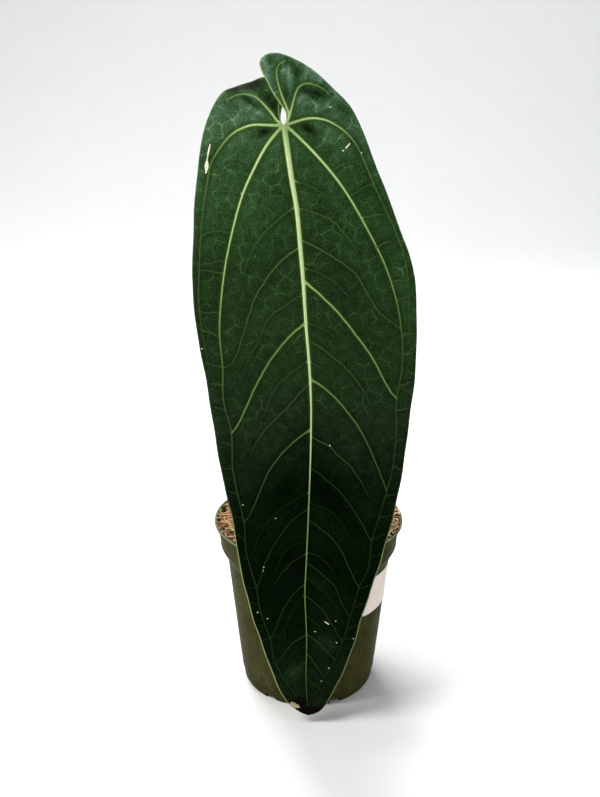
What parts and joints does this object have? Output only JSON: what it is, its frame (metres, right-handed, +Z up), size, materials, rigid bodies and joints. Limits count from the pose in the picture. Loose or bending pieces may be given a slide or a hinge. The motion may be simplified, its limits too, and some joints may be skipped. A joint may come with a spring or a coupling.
{
  "type": "potted queen anthurium",
  "caption": "Long velvety heart-based leaf with pale raised veins, hanging from an upright stalk that grows out of moss in a round green nursery pot.",
  "frame": {"origin": "centre of the pot's flat base, on the surface it stands on", "axes": "+Z up through the pot's axis; the leaf hangs on the -Y side with its face towards -Y"},
  "size_m": [0.1576, 0.1723, 0.5062],
  "materials": {
    "pot_plastic": "satin olive green injection-moulded plastic, scuffed round the foot",
    "label_paper": "blank matt white sticker",
    "moss_fibre": "dry pale moss fibre",
    "stem_green": "living stem, matt green and brown",
    "dry_scale": "dry brown papery bud scale",
    "stalk_green": "living leaf stalk, satin green",
    "leaf_green": "velvety dark green leaf with pale yellow-green veins"
  },
  "bodies": {
    "root": {"pot": "pot_plastic", "pot_label": "label_paper", "growing_medium": "moss_fibre", "stem": "stem_green", "bud_scale": "dry_scale", "leaf_stalk": "stalk_green", "leaf_blade": "leaf_green"}
  },
  "joints": []
}
